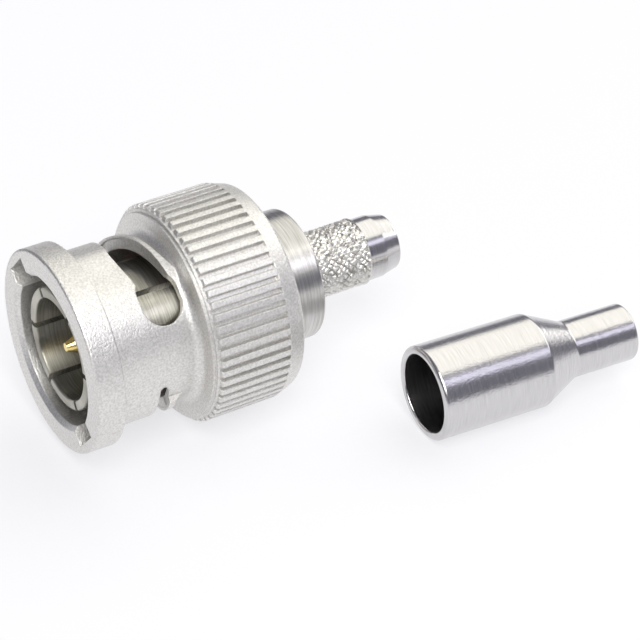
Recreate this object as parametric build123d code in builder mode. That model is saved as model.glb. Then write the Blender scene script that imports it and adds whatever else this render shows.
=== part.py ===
from build123d import *
from math import cos, radians, sin
import os

# Bayonet coaxial cable plug with its loose crimp ferrule, lying on a flat surface.
# X runs along the plug's axis from the mating end to the cable end, and Z is up.
# The origin is on the axis, in the plane of the outer contact's front edge.
# Angles about the axis are counted from straight up towards the viewer's side, which is -Y.

# Coupling nut, outside
nut_lead = 0.55            # how far the nut's front face stands ahead of the outer contact
flange_length = 1.9
flange_height = 1.35       # over the neck
flange_round = 0.15
flange_back_round = 0.12
neck_wall = 0.45
shoulder_fillet = 0.6
shoulder_margin = 0.5      # neck left behind the end of the cam slot
ring_step_length = 0.2     # step round the ring's front face, ahead of its lip
ring_step_height = 0.2
ring_lip_length = 0.2
ring_lip_flat = 0.15
ridge_height = 0.4         # over the rear band's narrow end
ridge_count = 58
ridge_front_chamfer = 0.1
groove_depth = 0.34
groove_width = 0.38
groove_floor_width = 0.27
band_wall = 1.25
band_length = 1.3
band_round = 0.4

# Coupling nut, inside
socket_room = 0.85         # radial gap round the outer contact, which the socket's barrel slides into
mouth_chamfer = 0.3
web_thickness = 0.9
recess_depth = 0.95

# Stud channels and cam slots
stud_reach = 0.63          # how far a socket's stud stands out past the nut's bore
stud_d = 2.0
stud_tip_clearance = 0.04
channel_width = 2.3
channel_angle = -47
notch_rise = 0.48          # how far the lead-in notches in the flange's face are cut past the channel
notch_width = 2.5
notch_depth = 0.6
cam_start_x = 4.3
cam_rise = 1.45
cam_turn = 94
cam_clearance = 0.05
detent_d = 2.7
detent_length = 0.8        # between the centres of the detent's round ends
detent_turn = 92
detent_setback = 0.3       # the detent's middle lies this far in front of the cam slot's end

# Window of the cam slot, which starts as a narrow tip beside the stud channel
window_tip_x = 4.72
window_tip_turn = -12
window_tip_d = 0.84
window_full_turn = 45      # turn at which the window is as wide as the slot
window_margin = 0.03       # how far the window's edges lie outside the slot's

# Hood and roof, the thin raised walls over a stud's path
hood_wall = 0.2
hood_edge = 0.4            # from the middle of the cam slot back to the hood's front edge
hood_lip = 0.35
hood_bevel = 0.1
hood_slope = 1.2
hood_overrun = 18
hood_peak_turn = 12        # the hood is highest here, and sinks into the neck behind the detent
hood_sink = 0.12           # between the neck's radius and that of the round which trims the hood
hood_offset = 0.81         # of that round's centre from the axis
roof_lead_turn = 13        # turn that the roof covers ahead of the channel's middle
roof_tail_turn = 43        # and behind it
roof_flank_turn = 23        # long flanks, which meet the neck almost at a tangent
roof_sink = 0.05            # depth of the flanks' feet in the neck
roof_round = 2.0
roof_setback = 0.1         # the roof's rear edge lies this far in front of the cam slot's start
roof_slope = 0.4

# Outer contact
contact_d = 8.1
contact_wall = 0.7
contact_slot_count = 6
contact_slot_width = 0.35
contact_slot_margin = 1.2  # whole sleeve left between the slots and the gasket
contact_slot_angle = 27
contact_round = 0.15
gasket_seat_depth = 0.2
spigot_wall = 0.4
spigot_length = 2.4

# Gasket and body
gasket_face_x = 8.4
gasket_thickness = 1.0
gasket_round = 0.25
bore_clearance = 0.2       # between the nut's bore and what fills it, the body's flange and the gasket
body_flange_thickness = 1.0
journal_room = 0.55        # radial gap between the nut's bore and the journal, for the washers
collar_end_wall = 1.5
collar_chamfer = 0.2
cavity_step = 0.35         # ledge that the outer contact's spigot seats on
stem_d = 4.56
stem_knurl_length = 4.75
stem_tip_step = 0.16
stem_tip_length = 1.3
stem_taper_length = 1.17
stem_taper_step = 0.27
cable_bore_d = 1.7

# Spring washers, thrust washer and retaining ring
wave_height = 0.65
wave_stock = 0.2
washer_bore_clearance = 0.05
washer_rim_clearance = 0.15
thrust_thickness = 0.3
axial_play = 0.05
retainer_thickness = 0.5
retainer_depth = 0.5
retainer_height = 0.85     # over the journal
retainer_clearance = 0.4
retainer_gap_angle = 30
running_clearance = 0.06

# Insulators and centre pin
insulator_face_x = 5.85
pin_d = 1.35
pin_tip_x = 0.5
pin_tip_d = 0.56
pin_cone_length = 0.95
pin_shoulder = 0.2
pin_collar_height = 0.25
pin_collar_length = 1.5
pin_tail_d = 1.9
pin_tail_length = 3.2
pin_tail_bare = 0.6        # tail left behind the rear insulator, with the solder hole
pin_pot_d = 0.6
pin_pot_depth = 2.6
solder_hole_d = 0.4
pin_clearance = 0.025
cavity_clearance = 0.4     # between the pin's tail and the end of its cavity

# Crimp ferrule, lying beside the plug
braid_room = 0.32          # radial gap over the stem, for the cable's braid
ferrule_wall = 0.54
ferrule_barrel_length = 7.94
ferrule_cone_length = 2.58
ferrule_tail_bore_d = 3.0
ferrule_tail_wall = 0.42
ferrule_tail_length = 4.58
ferrule_round = 0.25
ferrule_mouth_chamfer = 0.15
ferrule_tail_chamfer = 0.15
ferrule_mouth_x = 20.08
ferrule_side = 10.98       # from the plug's axis to the mouth's centre, towards the viewer
ferrule_yaw = -3.66

# Diameters, from the outer contact outwards
contact_bore_d = contact_d - 2 * contact_wall
spigot_d = contact_bore_d + 2 * spigot_wall
cavity_d = contact_bore_d - 2 * cavity_step
nut_bore_d = contact_d + 2 * socket_room
neck_d = nut_bore_d + 2 * neck_wall
flange_d = neck_d + 2 * flange_height
filling_d = nut_bore_d - 2 * bore_clearance        # the body's flange and the gasket
journal_d = nut_bore_d - 2 * journal_room
washer_bore_d = journal_d + 2 * washer_bore_clearance
washer_rim_d = nut_bore_d - 2 * washer_rim_clearance
retainer_groove_d = journal_d - 2 * retainer_depth
retainer_d = journal_d + 2 * retainer_height
recess_d = retainer_d + 2 * retainer_clearance
band_d = recess_d + 2 * band_wall
ridge_d = band_d + 2 * ridge_height
ring_lip_d = ridge_d - 2 * (ridge_front_chamfer + ring_lip_flat)
ring_step_d = ring_lip_d - 2 * ring_step_height
stem_tip_d = stem_d - 2 * stem_tip_step
stem_end_d = stem_tip_d - 2 * stem_taper_step
pin_shank_d = pin_d + 2 * pin_shoulder
pin_collar_d = pin_shank_d + 2 * pin_collar_height
ferrule_bore_d = stem_d + 2 * braid_room
ferrule_d = ferrule_bore_d + 2 * ferrule_wall
ferrule_tail_d = ferrule_tail_bore_d + 2 * ferrule_tail_wall

# Stations along the body and its pin
body_front = gasket_face_x + gasket_thickness
body_flange_back = body_front + body_flange_thickness
cavity_front = body_front + spigot_length
pin_collar_back = cavity_front
pin_collar_front = pin_collar_back - pin_collar_length
pin_back = pin_collar_back + pin_tail_length
cavity_back = pin_back + cavity_clearance
collar_back_x = cavity_back + collar_end_wall
stem_tip_front = collar_back_x + stem_knurl_length
stem_taper_front = stem_tip_front + stem_tip_length
stem_back = stem_taper_front + stem_taper_length

# Stations along the nut, whose web stands between the spring washers and the retaining ring
thrust_front = body_flange_back + 2 * wave_height
web_front = thrust_front + thrust_thickness + axial_play
web_back = web_front + web_thickness
retainer_front = web_back + axial_play
retainer_back = retainer_front + retainer_thickness
cam_end_x = cam_start_x + cam_rise
slot_half_width = stud_d / 2 + cam_clearance
window_half_width = slot_half_width + window_margin
nut_front = -nut_lead
flange_back = nut_front + flange_length
shoulder = cam_end_x + slot_half_width + shoulder_margin
ring_step_back = shoulder + ring_step_length
ridge_front = ring_step_back + ring_lip_length
nut_back = web_back + recess_depth
ridge_back = nut_back - band_length

# Radii that several features of the nut share
channel_r = nut_bore_d / 2 + stud_reach + stud_tip_clearance
hood_r = channel_r + hood_wall
notch_r = channel_r + notch_rise
cam_root_r = (neck_d + nut_bore_d) / 4     # middle of the neck's wall
cutter_r = ridge_d / 2
past = 0.1                                 # how far a cutter runs past what it cuts

os.makedirs("parts", exist_ok=True)


def radial(angle):
    """Unit vector across the axis, at an angle from straight up towards the viewer."""
    return Vector(0, -sin(radians(angle)), cos(radians(angle)))


def rims(part, x, d):
    """Circular edges about the axis at one station and diameter."""
    return part.edges().filter_by(GeomType.CIRCLE).filter_by(
        lambda e: abs(e.radius - d / 2) < 1e-4 and abs(e.arc_center.X - x) < 1e-4
    )


def corner(section, x, y):
    """Corner of a sketch nearest to a point of the sketch's own plane."""
    return section.sketch_local.vertices().sort_by_distance((x, y, 0))[0]


def cam_sweep(turn_from, turn_to, *corners):
    """Band along the cam slot's helix, from corners (distance behind its middle, radius).

    Turns are counted from the stud channel, which is straight up here.
    """
    with BuildPart() as band:
        with BuildLine() as path:
            Helix(
                pitch=cam_rise * 360 / cam_turn,
                height=cam_rise * (turn_to - turn_from) / cam_turn,
                radius=nut_bore_d / 2,
                center=(cam_start_x + cam_rise * turn_from / cam_turn, 0, 0),
                direction=(1, 0, 0),
            )
        start_x = (path.line @ 0).X
        with BuildSketch(Plane.XZ):
            with BuildLine():
                Polyline(*[(start_x + x, r) for x, r in corners], close=True)
            make_face()
        sweep(path=path.line, is_frenet=True)
    return band.part.rotate(Axis.X, turn_from)


def slot_corners(half_width):
    """Corners of a slot's section, for cutting through the nut's wall."""
    return [
        (-half_width, contact_d / 2),
        (-half_width, cutter_r),
        (half_width, cutter_r),
        (half_width, contact_d / 2),
    ]


def radial_plane(x, turn):
    """Plane on the axis at one station, facing out at an angle, with its own x along the axis."""
    return Plane(origin=(x, 0, 0), x_dir=(1, 0, 0), z_dir=radial(turn))


def radial_pocket(x, turn, d, depth_r):
    """Round pocket square to the axis, out to a radius."""
    with BuildPart() as pocket:
        with BuildSketch(radial_plane(x, turn)):
            Circle(d / 2)
        extrude(amount=depth_r)
    return pocket.part


def slot_middle(turn):
    """Station of the cam slot's middle at a turn from the stud channel."""
    return cam_start_x + cam_rise * turn / cam_turn


def across(turn, r):
    """Point of a cross-section sketch on the YZ plane, at a turn and a radius."""
    return radial(turn).Y * r, radial(turn).Z * r


# Path of one stud through the nut, under the roof: straight channel, helical groove and detent
channel_angles = (channel_angle, channel_angle + 180)
detent_x = cam_end_x - detent_setback
channel_end = radial_pocket(cam_start_x, 0, channel_width, cutter_r)
with BuildPart() as detent:
    with BuildSketch(radial_plane(detent_x, detent_turn)):
        with Locations((0, detent_length / 2)):
            SlotCenterToCenter(detent_length, detent_d, rotation=90)
    extrude(amount=cutter_r)
whole_groove = cam_sweep(0, cam_turn, *slot_corners(slot_half_width))
with BuildPart() as stud_path:
    with BuildSketch(Plane.YZ.offset(nut_front)):
        with Locations((0, cutter_r / 2)):
            Rectangle(channel_width, cutter_r)
    extrude(amount=cam_start_x - nut_front)
    add([channel_end, whole_groove, detent.part])
    with Locations(((nut_front + shoulder) / 2, 0, 0)):
        Cylinder(channel_r, shoulder - nut_front, rotation=(0, 90, 0), mode=Mode.INTERSECT)

# Window: the stretch of the cam slot that is open to outside, from a narrow tip to its full width
full_x = slot_middle(window_full_turn)
tip_offset = channel_r * sin(radians(window_full_turn - window_tip_turn))
with BuildPart() as window:
    with BuildSketch(radial_plane(full_x, window_full_turn)):
        with BuildLine():
            CenterArc((0, 0), window_half_width, 0, 360)
            CenterArc((window_tip_x - full_x, tip_offset), window_tip_d / 2, 0, 360)
        make_hull()
    extrude(amount=cutter_r)
    add([cam_sweep(window_full_turn, cam_turn, *slot_corners(window_half_width)), detent.part])

# Lead-in notch, a ramp from the flange's face down to the channel
with BuildPart() as notch:
    with BuildSketch(Plane.XZ):
        with BuildLine():
            Polyline(
                (nut_front, 0),
                (nut_front, notch_r),
                (nut_front + notch_depth, notch_r),
                (flange_back, channel_r),
                (flange_back, 0),
                close=True,
            )
        make_face()
    extrude(amount=notch_width / 2, both=True)

# Hood: the raised rear wall of the cam slot, which arches over the stud's tip
whole_hood = cam_sweep(
    -roof_lead_turn,
    cam_turn + hood_overrun,
    (hood_edge, cam_root_r),
    (hood_edge, hood_r - hood_bevel),
    (hood_edge + hood_bevel, hood_r),
    (slot_half_width + hood_lip, hood_r),
    (slot_half_width + hood_lip + hood_slope, cam_root_r),
)
with BuildPart() as hood:
    add(whole_hood)
    with Locations((cam_end_x, *across(hood_peak_turn, hood_offset))):
        Cylinder(neck_d / 2 - hood_sink, 2 * cam_end_x, rotation=(0, 90, 0), mode=Mode.INTERSECT)

# Roof: the raised pad over a stud channel, from the flange back to the window's narrow tip
roof_start = -roof_lead_turn - roof_flank_turn
roof_end = roof_tail_turn + roof_flank_turn
roof_middle = (roof_tail_turn - roof_lead_turn) / 2
roof_foot_r = neck_d / 2 - roof_sink
with BuildPart() as roof:
    with BuildSketch(Plane.XZ):
        with BuildLine():
            Polyline(
                (flange_back - past, cam_root_r),
                (flange_back - past, hood_r),
                (cam_start_x - roof_setback, hood_r),
                (cam_start_x - roof_setback + roof_slope, cam_root_r),
                close=True,
            )
        make_face()
    revolve(axis=Axis.X)
    with BuildSketch(Plane.YZ.offset(flange_back - past)) as section:
        with BuildLine():
            Line(across(roof_start, roof_foot_r), across(-roof_lead_turn, hood_r))
            ThreePointArc(
                across(-roof_lead_turn, hood_r),
                across(roof_middle, hood_r),
                across(roof_tail_turn, hood_r),
            )
            Line(across(roof_tail_turn, hood_r), across(roof_end, roof_foot_r))
            Line(across(roof_end, roof_foot_r), (0, 0))
            Line((0, 0), across(roof_start, roof_foot_r))
        make_face()
        for turn in (-roof_lead_turn, roof_tail_turn):
            fillet(corner(section, *across(turn, hood_r)), roof_round)
    extrude(amount=shoulder - flange_back, mode=Mode.INTERSECT)

# Coupling nut: one casting with flange, neck, knurled ring and rear band
with BuildPart() as coupling_nut:
    with BuildSketch(Plane.XY):
        with BuildLine():
            Polyline(
                (nut_front, nut_bore_d / 2),
                (nut_front, flange_d / 2),
                (flange_back, flange_d / 2),
                (flange_back, neck_d / 2),
                (shoulder, neck_d / 2),
                (shoulder, ring_step_d / 2),
                (ring_step_back, ring_step_d / 2),
                (ring_step_back, ring_lip_d / 2),
                (ridge_front, ring_lip_d / 2),
                (ridge_front, ridge_d / 2),
                (ridge_back, ridge_d / 2),
                (nut_back, band_d / 2),
                (nut_back, recess_d / 2),
                (web_back, recess_d / 2),
                (web_back, journal_d / 2 + running_clearance),
                (web_front, journal_d / 2 + running_clearance),
                (web_front, nut_bore_d / 2),
                close=True,
            )
        make_face()
    revolve(axis=Axis.X)
    fillet(rims(coupling_nut, nut_front, flange_d), flange_round)
    fillet(rims(coupling_nut, flange_back, flange_d), flange_back_round)
    fillet(rims(coupling_nut, shoulder, neck_d), min(shoulder_fillet, (ring_step_d - neck_d) / 3))
    fillet(rims(coupling_nut, nut_back, band_d), min(band_round, band_wall / 2))
    chamfer(rims(coupling_nut, ridge_front, ridge_d), ridge_front_chamfer)
    chamfer(rims(coupling_nut, nut_front, nut_bore_d), mouth_chamfer)
    with BuildSketch(Plane.YZ.offset(ridge_front)):
        with PolarLocations(ridge_d / 2, ridge_count):
            Polygon(
                (past, groove_width / 2 + past),
                (0, groove_width / 2),
                (-groove_depth, groove_floor_width / 2),
                (-groove_depth, -groove_floor_width / 2),
                (0, -groove_width / 2),
                (past, -groove_width / 2 - past),
                align=None,
            )
    extrude(amount=ridge_back - ridge_front, mode=Mode.SUBTRACT)
    for angle in channel_angles:
        add(roof.part.rotate(Axis.X, angle))
        add(hood.part.rotate(Axis.X, angle))
    for angle in channel_angles:
        add(stud_path.part.rotate(Axis.X, angle), mode=Mode.SUBTRACT)
        add(window.part.rotate(Axis.X, angle), mode=Mode.SUBTRACT)
        add(notch.part.rotate(Axis.X, angle), mode=Mode.SUBTRACT)
coupling_nut.part.label = "coupling_nut"
export_step(coupling_nut.part, "parts/coupling_nut.step")

# Outer contact: slotted spring sleeve with a spigot that presses into the body
with BuildPart() as outer_contact:
    with BuildSketch(Plane.XY):
        with BuildLine():
            Polyline(
                (0, contact_bore_d / 2),
                (0, contact_d / 2),
                (gasket_face_x, contact_d / 2),
                (gasket_face_x, contact_d / 2 - gasket_seat_depth),
                (body_front, contact_d / 2 - gasket_seat_depth),
                (body_front, spigot_d / 2),
                (cavity_front, spigot_d / 2),
                (cavity_front, contact_bore_d / 2),
                close=True,
            )
        make_face()
    revolve(axis=Axis.X)
    fillet(rims(outer_contact, 0, contact_d), contact_round)
    fillet(rims(outer_contact, 0, contact_bore_d), contact_round)
    with BuildSketch(Plane.YZ):
        with PolarLocations(contact_d / 2, contact_slot_count, 90 + contact_slot_angle):
            Rectangle(2 * contact_wall + past, contact_slot_width)
    extrude(amount=gasket_face_x - contact_slot_margin, mode=Mode.SUBTRACT)
outer_contact.part.label = "outer_contact"
export_step(outer_contact.part, "parts/outer_contact.step")

# Gasket: soft ring round the outer contact, which the socket's rim presses on
with BuildPart() as mating_gasket:
    with BuildSketch(Plane.YZ.offset(gasket_face_x)):
        Circle(filling_d / 2)
        Circle(contact_d / 2 - gasket_seat_depth, mode=Mode.SUBTRACT)
    extrude(amount=gasket_thickness)
    fillet(rims(mating_gasket, gasket_face_x, filling_d), gasket_round)
mating_gasket.part.label = "mating_gasket"
export_step(mating_gasket.part, "parts/mating_gasket.step")

# Connector body: flange, journal with ring groove, collar and crimp stem, turned from one bar
with BuildPart() as connector_body:
    with BuildSketch(Plane.XY):
        with BuildLine():
            Polyline(
                (body_front, spigot_d / 2),
                (body_front, filling_d / 2),
                (body_flange_back, filling_d / 2),
                (body_flange_back, journal_d / 2),
                (retainer_front, journal_d / 2),
                (retainer_front, retainer_groove_d / 2),
                (retainer_back, retainer_groove_d / 2),
                (retainer_back, journal_d / 2),
                (collar_back_x, journal_d / 2),
                (collar_back_x, stem_d / 2),
                (stem_tip_front, stem_d / 2),
                (stem_tip_front, stem_tip_d / 2),
                (stem_taper_front, stem_tip_d / 2),
                (stem_back, stem_end_d / 2),
                (stem_back, cable_bore_d / 2),
                (cavity_back, cable_bore_d / 2),
                (cavity_back, cavity_d / 2),
                (cavity_front, cavity_d / 2),
                (cavity_front, spigot_d / 2),
                close=True,
            )
        make_face()
    revolve(axis=Axis.X)
    chamfer(rims(connector_body, collar_back_x, journal_d), collar_chamfer)
connector_body.part.label = "connector_body"
export_step(connector_body.part, "parts/connector_body.step")


def wave_washer(front_x, crest_forward):
    """Curved spring washer: a bowed strip trimmed to a ring, as high as wave_height."""
    rise = wave_height - wave_stock
    half = washer_rim_d / 2
    bow_r = (half**2 + rise**2) / (2 * rise)
    with BuildPart() as washer:
        with BuildSketch(Plane.YZ.offset(front_x)):
            Circle(washer_rim_d / 2)
            Circle(washer_bore_d / 2, mode=Mode.SUBTRACT)
        extrude(amount=wave_height)
        crown_x = front_x if crest_forward else front_x + wave_height
        centre_x = crown_x + bow_r if crest_forward else crown_x - bow_r
        with BuildSketch(Plane.XZ) as strip:
            with Locations((centre_x, 0)):
                Circle(bow_r)
                Circle(bow_r - wave_stock, mode=Mode.SUBTRACT)
        extrude(amount=washer_rim_d, both=True, mode=Mode.INTERSECT)
    return washer.part


front_wave_washer = wave_washer(body_flange_back, True)
front_wave_washer.label = "front_wave_washer"
export_step(front_wave_washer, "parts/front_wave_washer.step")
rear_wave_washer = wave_washer(body_flange_back + wave_height, False)
rear_wave_washer.label = "rear_wave_washer"
export_step(rear_wave_washer, "parts/rear_wave_washer.step")

# Thrust washer: flat ring that the nut's web pushes along the journal
with BuildPart() as thrust_washer:
    with BuildSketch(Plane.YZ.offset(thrust_front)):
        Circle(washer_rim_d / 2)
        Circle(washer_bore_d / 2, mode=Mode.SUBTRACT)
    extrude(amount=thrust_thickness)
thrust_washer.part.label = "thrust_washer"
export_step(thrust_washer.part, "parts/thrust_washer.step")

# Retaining ring: open snap ring in the body's groove, behind the nut's web
with BuildPart() as retaining_ring:
    with BuildSketch(Plane.XZ):
        with BuildLine():
            Polyline(
                (retainer_front, retainer_groove_d / 2),
                (retainer_front, retainer_d / 2),
                (retainer_back, retainer_d / 2),
                (retainer_back, retainer_groove_d / 2),
                close=True,
            )
        make_face()
    revolve(axis=Axis.X, revolution_arc=360 - retainer_gap_angle)
retaining_ring.part.label = "retaining_ring"
export_step(retaining_ring.part, "parts/retaining_ring.step")

# Front insulator: fills the outer contact behind the mating space, and holds the pin's collar
with BuildPart() as front_insulator:
    with BuildSketch(Plane.XY):
        with BuildLine():
            Polyline(
                (insulator_face_x, pin_shank_d / 2 + pin_clearance),
                (insulator_face_x, contact_bore_d / 2),
                (cavity_front, contact_bore_d / 2),
                (cavity_front, pin_collar_d / 2 + pin_clearance),
                (pin_collar_front, pin_collar_d / 2 + pin_clearance),
                (pin_collar_front, pin_shank_d / 2 + pin_clearance),
                close=True,
            )
        make_face()
    revolve(axis=Axis.X)
front_insulator.part.label = "front_insulator"
export_step(front_insulator.part, "parts/front_insulator.step")

# Rear insulator: bush that backs the pin's collar inside the body
rear_insulator_length = pin_tail_length - pin_tail_bare
with BuildPart() as rear_insulator:
    with BuildSketch(Plane.YZ.offset(cavity_front)):
        Circle(cavity_d / 2)
        Circle(pin_tail_d / 2 + pin_clearance, mode=Mode.SUBTRACT)
    extrude(amount=rear_insulator_length)
rear_insulator.part.label = "rear_insulator"
export_step(rear_insulator.part, "parts/rear_insulator.step")

# Centre pin: pointed contact, locating collar, and a tail with a pot for the cable's core
solder_hole_x = pin_back - pin_tail_bare / 2
solder_hole = radial_pocket(solder_hole_x, 0, solder_hole_d, pin_tail_d)
with BuildPart() as center_pin:
    with BuildSketch(Plane.XY):
        with BuildLine():
            Polyline(
                (pin_tip_x, 0),
                (pin_tip_x, pin_tip_d / 2),
                (pin_tip_x + pin_cone_length, pin_d / 2),
                (insulator_face_x, pin_d / 2),
                (insulator_face_x, pin_shank_d / 2),
                (pin_collar_front, pin_shank_d / 2),
                (pin_collar_front, pin_collar_d / 2),
                (pin_collar_back, pin_collar_d / 2),
                (pin_collar_back, pin_tail_d / 2),
                (pin_back, pin_tail_d / 2),
                (pin_back, pin_pot_d / 2),
                (pin_back - pin_pot_depth, pin_pot_d / 2),
                (pin_back - pin_pot_depth, 0),
                close=True,
            )
        make_face()
    revolve(axis=Axis.X)
    add(solder_hole, mode=Mode.SUBTRACT)
center_pin.part.label = "center_pin"
export_step(center_pin.part, "parts/center_pin.step")

# Crimp ferrule: thin sleeve with a large barrel for the braid and a small one for the jacket
ferrule_plane = Plane(
    origin=(ferrule_mouth_x, -ferrule_side, (ferrule_d - ridge_d) / 2),
    x_dir=(cos(radians(ferrule_yaw)), sin(radians(ferrule_yaw)), 0),
    z_dir=(0, 0, 1),
)
ferrule_cone_back = ferrule_barrel_length + ferrule_cone_length
ferrule_length = ferrule_cone_back + ferrule_tail_length
with BuildPart() as crimp_ferrule:
    with BuildSketch(ferrule_plane) as section:
        with BuildLine():
            Polyline(
                (0, ferrule_bore_d / 2),
                (0, ferrule_d / 2),
                (ferrule_barrel_length, ferrule_d / 2),
                (ferrule_cone_back, ferrule_tail_d / 2),
                (ferrule_length, ferrule_tail_d / 2),
                (ferrule_length, ferrule_tail_bore_d / 2),
                (ferrule_cone_back - ferrule_wall, ferrule_tail_bore_d / 2),
                (ferrule_barrel_length - ferrule_wall / 2, ferrule_bore_d / 2),
                close=True,
            )
        make_face()
        fillet(corner(section, 0, ferrule_d / 2), ferrule_round)
        chamfer(
            corner(section, 0, ferrule_bore_d / 2),
            ferrule_mouth_chamfer,
        )
        chamfer(
            corner(section, ferrule_length, ferrule_tail_d / 2),
            ferrule_tail_chamfer,
        )
    revolve(axis=Axis(ferrule_plane.origin, ferrule_plane.x_dir))
crimp_ferrule.part.label = "crimp_ferrule"
export_step(crimp_ferrule.part, "parts/crimp_ferrule.step")
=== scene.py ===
import math

import bpy
from mathutils import Matrix, Vector
from mathutils.noise import turbulence_vector


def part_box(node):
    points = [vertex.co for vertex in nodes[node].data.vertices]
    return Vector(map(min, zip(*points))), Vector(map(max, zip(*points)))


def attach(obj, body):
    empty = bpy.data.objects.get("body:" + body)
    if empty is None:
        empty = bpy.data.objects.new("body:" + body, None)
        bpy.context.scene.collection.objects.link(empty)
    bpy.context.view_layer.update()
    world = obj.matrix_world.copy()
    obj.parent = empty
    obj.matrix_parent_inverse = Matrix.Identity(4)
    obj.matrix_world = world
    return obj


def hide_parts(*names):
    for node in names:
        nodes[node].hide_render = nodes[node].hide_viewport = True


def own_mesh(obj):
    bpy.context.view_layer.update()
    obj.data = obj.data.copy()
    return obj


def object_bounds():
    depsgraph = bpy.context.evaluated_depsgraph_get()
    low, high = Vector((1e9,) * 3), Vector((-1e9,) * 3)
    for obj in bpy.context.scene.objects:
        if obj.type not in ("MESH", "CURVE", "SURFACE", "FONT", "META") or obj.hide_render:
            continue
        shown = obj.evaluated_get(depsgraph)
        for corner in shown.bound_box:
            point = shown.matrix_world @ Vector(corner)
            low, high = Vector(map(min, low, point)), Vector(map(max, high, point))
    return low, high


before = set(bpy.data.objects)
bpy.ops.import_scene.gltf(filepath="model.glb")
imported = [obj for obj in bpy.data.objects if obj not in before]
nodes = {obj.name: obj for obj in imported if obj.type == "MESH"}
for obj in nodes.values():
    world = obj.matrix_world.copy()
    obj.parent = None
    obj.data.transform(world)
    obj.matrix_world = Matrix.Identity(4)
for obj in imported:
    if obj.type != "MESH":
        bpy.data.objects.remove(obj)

# Looks of a bayonet coaxial plug and its loose crimp ferrule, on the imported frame.
# Sizes below are in millimetres, and meshes are made in metres.
# X runs along the plug's axis towards the cable end, and Z is up.
# Angles about the axis are counted from straight up towards the viewer's side, which is -Y.

MM = 0.001
cad_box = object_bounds()

# Camera, fitted to the photograph
CAMERA_PLACE = (-50.70, -116.30, 90.10)
CAMERA_RIGHT = Vector((0.8577, -0.5142, 0.0))
CAMERA_UP = Vector((0.2943, 0.4910, 0.8200))
CAMERA_LENS = 139.6
CAMERA_SENSOR = 36.0

# Studio, with the lamps' edges given as angles about the plug's axis
FLOOR_SIDE = 3000
FLOOR_DROP = 0.01
LAMP_DISTANCE = 600
TOP_LAMP = (-58, 24)
STRIP_LAMP = (36, 50)
FRONT_LAMP = (18, 58)
REAR_LAMP = (-50, 34)

# Turned body, behind the nut
JOURNAL_R = 4.35
COLLAR_LINE_X = 14.4
STEM_R = 2.28
STEM_TIP_R = 2.12
STEM_TIP_LENGTH = 1.3
STEM_TAPER_LENGTH = 1.17
STEM_END_R = 1.85
STEM_LENGTH = 7.22
CABLE_BORE_R = 0.85
CAVITY_R = 3.0
SPIGOT_R = 3.75
SPIGOT_LENGTH = 2.4
CAVITY_LENGTH = 3.6
FLANGE_LENGTH = 1.0
RING_GROOVE_R = 3.85
RING_GROOVE = (13.0, 13.5)
FINE_EDGE = 0.06
LONG_STRAIGHT = 0.3

# Diamond knurl on the stem
KNURL_STARTS = 28
KNURL_PITCH = 0.5
KNURL_STEPS = 14
KNURL_DEPTH = 0.12
KNURL_WANDER = 0.5        # how unevenly the knurl's grooves run, as a share of their pitch

# Spring washers between the body's flange and the nut's thrust washer
SPRING_BORE_R = 4.4
SPRING_STOCK = 0.2
SPRING_STEPS = 128

# Loose ferrule
FERRULE_YAW = -3.66
FERRULE_MOUTH = (20.08, -10.98)
FERRULE_R = 3.14
FERRULE_BORE_R = 2.6
FERRULE_TAIL_R = 1.92
FERRULE_TAIL_BORE_R = 1.5
FERRULE_BARREL = 7.94
FERRULE_CONE = 2.58
FERRULE_TAIL = 4.58


def ring_point(x, r, angle):
    """Point in metres at a station, a radius and an angle about the axis."""
    return Vector((x, -r * math.sin(angle), r * math.cos(angle))) * MM


def held(points):
    """Outline with points near the ends of its long straights, which keep their shading straight."""
    outline = []
    for i, point in enumerate(points):
        run = points[(i + 1) % len(points)] - point
        outline.append(point)
        if run.length > LONG_STRAIGHT:
            outline.append(point + run.normalized() * FINE_EDGE / 2)
            outline.append(point + run - run.normalized() * FINE_EDGE / 2)
    return outline


def rounded(outline, steps=4):
    """Points (x, r) of a closed outline whose corners (x, r, radius) are rounded."""
    points = []
    for i, (x, r, radius) in enumerate(outline):
        corner = Vector((x, r))
        if radius == 0:
            points.append(corner)
            continue
        before = Vector(outline[i - 1][:2]) - corner
        after = Vector(outline[(i + 1) % len(outline)][:2]) - corner
        half = before.angle(after) / 2
        reach = min(radius / math.tan(half), before.length / 2, after.length / 2)
        radius = reach * math.tan(half)
        middle = (before.normalized() + after.normalized()).normalized()
        centre = corner + middle * radius / math.sin(half)
        first = corner + before.normalized() * reach - centre
        last = corner + after.normalized() * reach - centre
        for step in range(steps + 1):
            points.append(centre + first.lerp(last, step / steps).normalized() * radius)
    return held(points)


def lathe(name, points, segments, depth_at=None):
    """Solid of revolution about X, from a closed outline of points (x, r)."""
    vertices = []
    cuts = []
    for x, r in points:
        for i in range(segments):
            angle = 2 * math.pi * i / segments
            cut = depth_at(x, r, angle) if depth_at else 0
            cuts.append(cut)
            vertices.append(ring_point(x, r - cut, angle))
    faces = []
    for j in range(len(points)):
        k = (j + 1) % len(points)
        for i in range(segments):
            n = (i + 1) % segments
            faces.append((j * segments + i, j * segments + n, k * segments + n, k * segments + i))
    mesh = bpy.data.meshes.new(name)
    mesh.from_pydata(vertices, [], faces)
    if depth_at:
        mesh.attributes.new("cut", "FLOAT", "POINT").data.foreach_set("value", cuts)
    mesh.shade_smooth()
    mesh.set_sharp_from_angle(angle=math.radians(35))
    piece = bpy.data.objects.new(name, mesh)
    bpy.context.scene.collection.objects.link(piece)
    return piece


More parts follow.
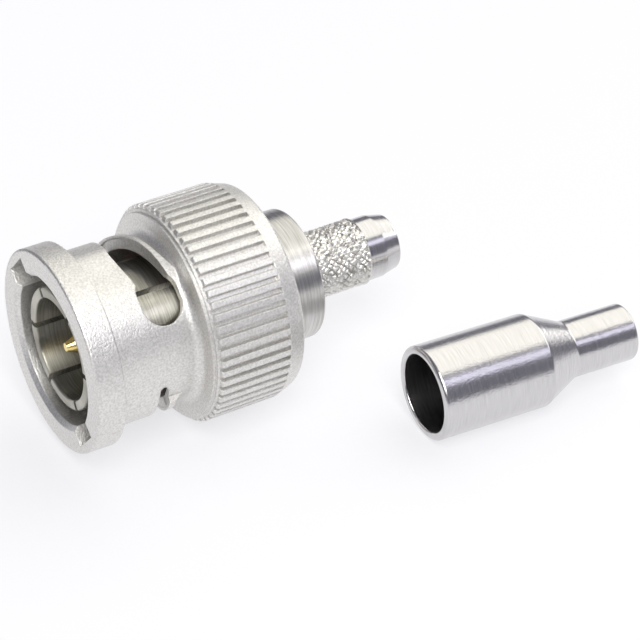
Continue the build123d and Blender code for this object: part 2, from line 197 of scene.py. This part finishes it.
def new_material(name, colour, metallic, roughness):
    """New material, and its shader and node tree."""
    material = bpy.data.materials.new(name)
    material.use_nodes = True
    tree = material.node_tree
    shader = tree.nodes["Principled BSDF"]
    shader.inputs["Base Color"].default_value = (*colour, 1)
    shader.inputs["Metallic"].default_value = metallic
    shader.inputs["Roughness"].default_value = roughness
    return material, shader, tree


def noise(tree, grain, detail=2.0):
    """Noise over the object, with its grain (x, y, z) in millimetres."""
    place = tree.nodes.new("ShaderNodeTexCoord")
    scale = tree.nodes.new("ShaderNodeMapping")
    scale.inputs["Scale"].default_value = [1 / (g * MM) for g in grain]
    tree.links.new(place.outputs["Object"], scale.inputs["Vector"])
    cloud = tree.nodes.new("ShaderNodeTexNoise")
    cloud.inputs["Scale"].default_value = 1
    cloud.inputs["Detail"].default_value = detail
    tree.links.new(scale.outputs["Vector"], cloud.inputs["Vector"])
    return cloud.outputs["Fac"]


def add_bump(tree, shader, height, strength, distance):
    """Bump on the shader, over any bump that it has already."""
    bump = tree.nodes.new("ShaderNodeBump")
    bump.inputs["Strength"].default_value = strength
    bump.inputs["Distance"].default_value = distance * MM
    tree.links.new(height, bump.inputs["Height"])
    for link in list(shader.inputs["Normal"].links):
        tree.links.new(link.from_socket, bump.inputs["Normal"])
    tree.links.new(bump.outputs["Normal"], shader.inputs["Normal"])


def soften_edges(tree, shader, radius):
    """Light caught on edges as if they were rounded to a radius in millimetres."""
    bevel = tree.nodes.new("ShaderNodeBevel")
    bevel.samples = 6
    bevel.inputs["Radius"].default_value = radius * MM
    tree.links.new(bevel.outputs["Normal"], shader.inputs["Normal"])


def vary(tree, value, socket, low, high):
    """Noise spread over a socket, from low to high."""
    spread = tree.nodes.new("ShaderNodeMapRange")
    spread.inputs["From Min"].default_value = 0.3
    spread.inputs["From Max"].default_value = 0.7
    spread.inputs["To Min"].default_value = low
    spread.inputs["To Max"].default_value = high
    tree.links.new(value, spread.inputs["Value"])
    tree.links.new(spread.outputs["Result"], socket)


def tint(tree, value, socket, low, high):
    """Noise spread over a colour socket, between two colours."""
    ramp = tree.nodes.new("ShaderNodeValToRGB")
    ramp.color_ramp.elements[0].position = 0.35
    ramp.color_ramp.elements[0].color = (*low, 1)
    ramp.color_ramp.elements[1].position = 0.65
    ramp.color_ramp.elements[1].color = (*high, 1)
    tree.links.new(value, ramp.inputs["Fac"])
    tree.links.new(ramp.outputs["Color"], socket)


def cast_nickel():
    """Satin nickel over a sandy casting."""
    material, shader, tree = new_material("cast_nickel_satin", (0.68, 0.67, 0.65), 1, 0.45)
    sand = noise(tree, (0.12, 0.12, 0.12), 4)
    soft = noise(tree, (0.9, 0.9, 0.9), 2)
    tint(tree, noise(tree, (0.14, 0.14, 0.14), 4), shader.inputs["Base Color"], (0.64, 0.63, 0.60), (0.82, 0.81, 0.79))
    vary(tree, sand, shader.inputs["Roughness"], 0.38, 0.54)
    soften_edges(tree, shader, 0.11)
    add_bump(tree, shader, soft, 0.25, 0.06)
    add_bump(tree, shader, sand, 0.9, 0.036)
    return material


def spread_along_axis(tree, shader, amount):
    """Highlights drawn out along the object's X axis, across its turning lines."""
    around = tree.nodes.new("ShaderNodeTangent")
    around.direction_type = "RADIAL"
    around.axis = "X"
    tree.links.new(around.outputs["Tangent"], shader.inputs["Tangent"])
    shader.inputs["Anisotropic"].default_value = amount
    shader.inputs["Anisotropic Rotation"].default_value = 0.25


def knurled_nickel():
    """Bright nickel over a coarsely rolled knurl, with shade painted into its pits: darker colour where the knurl cuts
    deeper.
    """
    material, shader, tree = new_material("turned_nickel_knurl", (0.62, 0.61, 0.59), 1, 0.42)
    grain = noise(tree, (0.12, 0.12, 0.12), 3)
    vary(tree, grain, shader.inputs["Roughness"], 0.34, 0.5)
    # Painted shade: the base colour darkens with the knurl's depth, standing in for the shade in its pits.
    cut = tree.nodes.new("ShaderNodeAttribute")
    cut.attribute_name = "cut"
    pit_shade = tree.nodes.new("ShaderNodeMath")
    pit_shade.operation = "MULTIPLY"
    pit_shade.inputs[1].default_value = 0.6 / KNURL_DEPTH
    tree.links.new(cut.outputs["Fac"], pit_shade.inputs[0])
    tint(tree, pit_shade.outputs["Value"], shader.inputs["Base Color"], (0.74, 0.73, 0.70), (0.40, 0.39, 0.36))
    add_bump(tree, shader, grain, 0.5, 0.02)
    return material


def streaked_nickel(name, dark, light):
    """Bright nickel over a rougher turned face, with darker streaks round it."""
    material, shader, tree = new_material(name, light, 1, 0.35)
    lines = noise(tree, (0.05, 0.9, 0.9), 4)
    streaks = noise(tree, (0.08, 2.4, 2.4), 3)
    vary(tree, lines, shader.inputs["Roughness"], 0.28, 0.42)
    tint(tree, streaks, shader.inputs["Base Color"], dark, light)
    add_bump(tree, shader, lines, 0.4, 0.01)
    spread_along_axis(tree, shader, 0.85)
    return material


def turned_nickel(name, colour, roughness, depth, peel_depth):
    """Bright nickel over fine turning lines, which run round the object's own X axis."""
    material, shader, tree = new_material(name, colour, 1, roughness)
    lines = noise(tree, (0.03, 1.6, 1.6), 3)
    bands = noise(tree, (0.25, 6, 6), 2)
    peel = noise(tree, (0.13, 0.13, 0.13), 3)
    vary(tree, lines, shader.inputs["Roughness"], roughness * 0.75, roughness * 1.35)
    tint(tree, lines, shader.inputs["Base Color"], [0.88 * c for c in colour], [1.04 * c for c in colour])
    add_bump(tree, shader, bands, 0.2, 0.02)
    add_bump(tree, shader, peel, 0.6, peel_depth)
    add_bump(tree, shader, lines, 0.5, depth)
    return material


def gold_plating():
    """Polished gold plate with faint turning lines."""
    material, shader, tree = new_material("gold_plating_polished", (0.88, 0.69, 0.27), 1, 0.16)
    lines = noise(tree, (0.04, 1.0, 1.0), 2)
    vary(tree, lines, shader.inputs["Roughness"], 0.12, 0.24)
    add_bump(tree, shader, lines, 0.2, 0.004)
    return material


def white_insulator():
    """Waxy white fluoropolymer."""
    material, shader, tree = new_material("insulator_waxy_white", (0.92, 0.92, 0.90), 0, 0.42)
    shader.inputs["Subsurface Weight"].default_value = 0.3
    shader.inputs["Subsurface Radius"].default_value = (0.0006, 0.0006, 0.0006)
    cloud = noise(tree, (0.2, 0.2, 0.2), 2)
    vary(tree, cloud, shader.inputs["Roughness"], 0.36, 0.5)
    add_bump(tree, shader, cloud, 0.15, 0.01)
    return material


def red_silicone():
    """Matt dark red silicone."""
    material, shader, tree = new_material("silicone_dark_red", (0.30, 0.06, 0.04), 0, 0.55)
    cloud = noise(tree, (0.12, 0.12, 0.12), 2)
    vary(tree, cloud, shader.inputs["Roughness"], 0.48, 0.65)
    tint(tree, noise(tree, (0.6, 0.6, 0.6)), shader.inputs["Base Color"], (0.26, 0.05, 0.035), (0.33, 0.07, 0.05))
    add_bump(tree, shader, cloud, 0.2, 0.01)
    return material


def spring_steel():
    """Bare spring steel with a faint rolled grain."""
    material, shader, tree = new_material("spring_steel_rolled", (0.56, 0.56, 0.57), 1, 0.3)
    grain = noise(tree, (0.3, 0.04, 1.5), 2)
    vary(tree, grain, shader.inputs["Roughness"], 0.24, 0.38)
    add_bump(tree, shader, grain, 0.2, 0.005)
    return material


def make_camera():
    """Camera at the photograph's angle."""
    data = bpy.data.cameras.new("camera")
    data.lens = CAMERA_LENS
    data.sensor_width = CAMERA_SENSOR
    data.clip_start = 5 * MM
    camera = bpy.data.objects.new("camera", data)
    back = CAMERA_RIGHT.cross(CAMERA_UP)
    turn = Matrix((CAMERA_RIGHT, CAMERA_UP, back)).transposed()
    camera.matrix_world = Matrix.Translation(Vector(CAMERA_PLACE) * MM) @ turn.to_4x4()
    bpy.context.scene.collection.objects.link(camera)
    bpy.context.scene.camera = camera


def make_floor():
    """Plain pale floor, faintly lit from below, under the lowest point of the model."""
    half = FLOOR_SIDE / 2 * MM
    z = cad_box[0].z - FLOOR_DROP * MM
    corners = [(-half, -half, z), (half, -half, z), (half, half, z), (-half, half, z)]
    mesh = bpy.data.meshes.new("floor")
    mesh.from_pydata(corners, [], [(0, 1, 2, 3)])
    floor = bpy.data.objects.new("floor", mesh)
    bpy.context.scene.collection.objects.link(floor)
    material, shader, tree = new_material("pale_floor", (0.30, 0.30, 0.31), 0, 0.9)
    shader.inputs["Specular IOR Level"].default_value = 0
    shader.inputs["Emission Color"].default_value = (0.98, 0.98, 1.0, 1)
    shader.inputs["Emission Strength"].default_value = 0.66
    mesh.materials.append(material)


def make_lamp(name, edges, ends, colour, power):
    """Flat lamp along X that faces the axis, between two angles about it and two stations."""
    data = bpy.data.lights.new(name, "AREA")
    data.shape = "RECTANGLE"
    data.size = (ends[1] - ends[0]) * MM
    data.size_y = 2 * LAMP_DISTANCE * math.tan(math.radians(edges[1] - edges[0]) / 2) * MM
    data.color = colour
    data.energy = power
    lamp = bpy.data.objects.new(name, data)
    out = ring_point(0, 1 / MM, math.radians(sum(edges) / 2))
    along = Vector((1, 0, 0))
    turn = Matrix((along, out.cross(along), out)).transposed()
    place = (out * LAMP_DISTANCE + along * sum(ends) / 2) * MM
    lamp.matrix_world = Matrix.Translation(place) @ turn.to_4x4()
    lamp.visible_camera = False
    bpy.context.scene.collection.objects.link(lamp)


def make_studio():
    """Soft warm top light, a cooler strip in front of it, two lamps at the ends and dim walls."""
    world = bpy.data.worlds.new("studio")
    bpy.context.scene.world = world
    world.use_nodes = True
    back = world.node_tree.nodes["Background"]
    back.inputs["Color"].default_value = (0.84, 0.84, 1.0, 1)
    back.inputs["Strength"].default_value = 0.24
    make_lamp("top_lamp", TOP_LAMP, (80, 860), (1.0, 0.98, 0.88), 3.5)
    make_lamp("strip_lamp", STRIP_LAMP, (-450, 800), (0.86, 0.84, 1.0), 0.83)
    make_lamp("front_lamp", FRONT_LAMP, (-300, 0), (1.0, 0.99, 0.95), 2.8)
    make_lamp("rear_lamp", REAR_LAMP, (950, 1500), (1.0, 0.99, 0.95), 7.5)
    bpy.context.scene.view_settings.view_transform = "Standard"


def knurl_depth(x, r, angle):
    """Depth of the diamond knurl, two families of V grooves that cross."""
    stem_front = body_back - STEM_LENGTH
    tip_front = body_back - STEM_TIP_LENGTH - STEM_TAPER_LENGTH
    if abs(r - STEM_R) > 1e-6 or not stem_front < x < tip_front:
        return 0
    turn = KNURL_STARTS * angle / (2 * math.pi)
    along = (x - stem_front) / KNURL_PITCH
    place = Vector((x, r * math.sin(angle), r * math.cos(angle))) * 1.9
    wander = turbulence_vector(place, 2, False)
    first = turn + along + KNURL_WANDER * wander.x
    second = turn - along + KNURL_WANDER * wander.y
    rise = min(abs(p - round(p)) for p in (first, second))
    return KNURL_DEPTH * (1 - min(2 * rise, 0.8)) * (1 + 0.5 * wander.z)


def make_body():
    """Turned body with its scribed collar and knurled crimp stem."""
    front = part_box("connector_body")[0].x / MM
    flange_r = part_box("connector_body")[1].z / MM
    stem_front = body_back - STEM_LENGTH
    taper_front = body_back - STEM_TAPER_LENGTH
    tip_front = taper_front - STEM_TIP_LENGTH
    cavity_front = front + SPIGOT_LENGTH
    cavity_back = cavity_front + CAVITY_LENGTH
    row = KNURL_PITCH / KNURL_STEPS
    rows = int((tip_front - stem_front) / row)
    outline = [
        (front, SPIGOT_R, FINE_EDGE),
        (front, flange_r, FINE_EDGE),
        (front + FLANGE_LENGTH, flange_r, FINE_EDGE),
        (front + FLANGE_LENGTH, JOURNAL_R, FINE_EDGE),
        (RING_GROOVE[0], JOURNAL_R, FINE_EDGE),
        (RING_GROOVE[0], RING_GROOVE_R, FINE_EDGE),
        (RING_GROOVE[1], RING_GROOVE_R, FINE_EDGE),
        (RING_GROOVE[1], JOURNAL_R, FINE_EDGE),
        (COLLAR_LINE_X - 0.05, JOURNAL_R, 0),
        (COLLAR_LINE_X, JOURNAL_R - 0.06, 0),
        (COLLAR_LINE_X + 0.05, JOURNAL_R, 0),
        (stem_front, JOURNAL_R, 0.2),
        (stem_front, STEM_R, 0),
        *[(stem_front + row * i, STEM_R, 0) for i in range(1, rows)],
        (tip_front, STEM_R, 0),
        (tip_front, STEM_TIP_R, 0),
        (taper_front, STEM_TIP_R, FINE_EDGE),
        (body_back, STEM_END_R, FINE_EDGE),
        (body_back, CABLE_BORE_R, FINE_EDGE),
        (cavity_back, CABLE_BORE_R, 0),
        (cavity_back, CAVITY_R, 0),
        (cavity_front, CAVITY_R, 0),
        (cavity_front, SPIGOT_R, 0),
    ]
    body = lathe("turned_body", rounded(outline), KNURL_STARTS * KNURL_STEPS, knurl_depth)
    body.data.materials.append(turned_nickel("turned_nickel_body", (0.64, 0.63, 0.63), 0.19, 0.006, 0.003))
    body.data.materials.append(streaked_nickel("turned_nickel_collar", (0.50, 0.49, 0.46), (0.68, 0.67, 0.66)))
    body.data.materials.append(knurled_nickel())
    for face in body.data.polygons:
        if face.center.x < stem_front * MM:
            face.material_index = 1
        elif face.center.x < tip_front * MM and face.center.yz.length > STEM_TIP_R * MM:
            face.material_index = 2
    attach(body, "plug_body")
    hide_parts("connector_body")


def make_ferrule():
    """Thin sleeve with a large barrel, a cone and a small barrel."""
    cone_back = FERRULE_BARREL + FERRULE_CONE
    end = cone_back + FERRULE_TAIL
    wall = FERRULE_R - FERRULE_BORE_R
    outline = [
        (0, FERRULE_BORE_R, 0.15),
        (0, FERRULE_R, 0.25),
        (FERRULE_BARREL, FERRULE_R, 0.3),
        (cone_back, FERRULE_TAIL_R, 0.3),
        (end, FERRULE_TAIL_R, 0.15),
        (end, FERRULE_TAIL_BORE_R, 0.08),
        (cone_back - wall, FERRULE_TAIL_BORE_R, 0.2),
        (FERRULE_BARREL - wall / 2, FERRULE_BORE_R, 0.2),
    ]
    ferrule = lathe("loose_ferrule", rounded(outline, 6), 256)
    mouth = Vector((*FERRULE_MOUTH, cad_box[0].z / MM + FERRULE_R)) * MM
    yaw = Matrix.Rotation(math.radians(FERRULE_YAW), 4, "Z")
    ferrule.matrix_world = Matrix.Translation(mouth) @ yaw
    finish = turned_nickel("turned_nickel_ferrule", (0.64, 0.63, 0.63), 0.19, 0.008, 0.02)
    ferrule.data.materials.append(finish)
    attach(ferrule, "plug_body")
    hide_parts("crimp_ferrule")


def make_spring(name, node, crest_forward, finish):
    """Bowed spring washer, shaped once in the place of a wave washer node, with its crest forward or back."""
    low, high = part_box(node)
    outer = high.y / MM
    rise = (high.x - low.x) / MM - SPRING_STOCK
    bow_r = (outer**2 + rise**2) / (2 * rise)
    vertices = []
    faces = []
    for i in range(SPRING_STEPS):
        angle = 2 * math.pi * i / SPRING_STEPS
        for r, back in ((SPRING_BORE_R, 0), (outer, 0), (outer, SPRING_STOCK), (SPRING_BORE_R, SPRING_STOCK)):
            sag = bow_r - math.sqrt(bow_r**2 - (r * math.cos(angle)) ** 2)
            front = low.x / MM + (sag if crest_forward else rise - sag)
            vertices.append(ring_point(front + back, r, angle))
        n = (i + 1) % SPRING_STEPS
        faces += [(4 * i + k, 4 * i + (k + 1) % 4, 4 * n + (k + 1) % 4, 4 * n + k) for k in range(4)]
    mesh = bpy.data.meshes.new(name)
    mesh.from_pydata(vertices, [], faces)
    mesh.shade_smooth()
    mesh.set_sharp_from_angle(angle=math.radians(35))
    mesh.materials.append(finish)
    spring = bpy.data.objects.new(name, mesh)
    bpy.context.scene.collection.objects.link(spring)
    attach(spring, "plug_body")
    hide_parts(node)
    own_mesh(spring)


def dress_nodes():
    """Finished materials on the nodes that keep their own shape, and the springs."""
    # Painted shade: the contact's plating is coloured dark all over, standing in for the shade inside the nut.
    contact = streaked_nickel("contact_plating_painted_shade", (0.34, 0.33, 0.28), (0.52, 0.51, 0.45))
    steel = spring_steel()
    white = white_insulator()
    finishes = {
        "coupling_nut": cast_nickel(),
        "outer_contact": contact,
        "center_pin": gold_plating(),
        "mating_gasket": red_silicone(),
        "front_insulator": white,
        "rear_insulator": white,
        "thrust_washer": steel,
        "retaining_ring": steel,
    }
    for name, material in finishes.items():
        nodes[name].data.materials[0] = material
    make_spring("front_spring", "front_wave_washer", True, steel)
    make_spring("rear_spring", "rear_wave_washer", False, steel)


body_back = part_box("connector_body")[1].x / MM
make_camera()
make_floor()
make_studio()
make_body()
make_ferrule()
dress_nodes()
